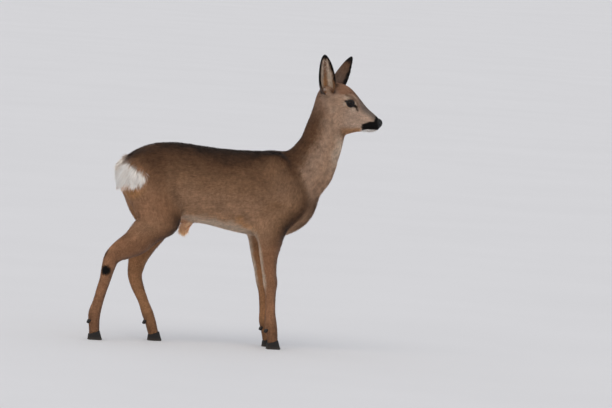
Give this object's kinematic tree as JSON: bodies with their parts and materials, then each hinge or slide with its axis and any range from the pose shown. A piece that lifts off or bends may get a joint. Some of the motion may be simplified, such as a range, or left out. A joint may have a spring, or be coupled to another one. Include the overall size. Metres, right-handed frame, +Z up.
{
  "type": "roe deer",
  "caption": "Life-size still model of a young male roe deer in winter coat, standing in mid-step with its ears up, on cloven hooves.",
  "frame": {"origin": "on the floor, under the middle of the animal's box", "axes": "+X towards the head, +Y towards the animal's left, +Z up"},
  "size_m": [0.9173, 0.2018, 0.9488],
  "materials": {
    "body_fur": "matt fur",
    "neck_fur": "matt fur",
    "face_fur": "matt fur",
    "ear_fur": "matt fur",
    "leg_fur": "matt fur",
    "rust_fur": "matt fur",
    "rump_fur": "matt fur",
    "horn": "dull horn",
    "eye": "wet and glossy"
  },
  "bodies": {
    "root": {"eye_left": "eye", "ear_left": "ear_fur", "eye_right": "eye", "ear_right": "ear_fur", "head": "face_fur", "neck": "neck_fur", "trunk": "body_fur", "tail": "rump_fur", "brush": "rust_fur", "forearm_left": "leg_fur", "cannon_fore_left": "leg_fur", "pastern_fore_left": "leg_fur", "hoof_fore_left_inner": "horn", "dewclaw_fore_left_inner": "horn", "hoof_fore_left_outer": "horn", "dewclaw_fore_left_outer": "horn", "forearm_right": "leg_fur", "cannon_fore_right": "leg_fur", "pastern_fore_right": "leg_fur", "hoof_fore_right_inner": "horn", "dewclaw_fore_right_inner": "horn", "hoof_fore_right_outer": "horn", "dewclaw_fore_right_outer": "horn", "thigh_left": "leg_fur", "shank_left": "leg_fur", "cannon_hind_left": "leg_fur", "pastern_hind_left": "leg_fur", "hoof_hind_left_inner": "horn", "dewclaw_hind_left_inner": "horn", "hoof_hind_left_outer": "horn", "dewclaw_hind_left_outer": "horn", "thigh_right": "leg_fur", "shank_right": "leg_fur", "cannon_hind_right": "leg_fur", "pastern_hind_right": "leg_fur", "hoof_hind_right_inner": "horn", "dewclaw_hind_right_inner": "horn", "hoof_hind_right_outer": "horn", "dewclaw_hind_right_outer": "horn"}
  },
  "joints": []
}
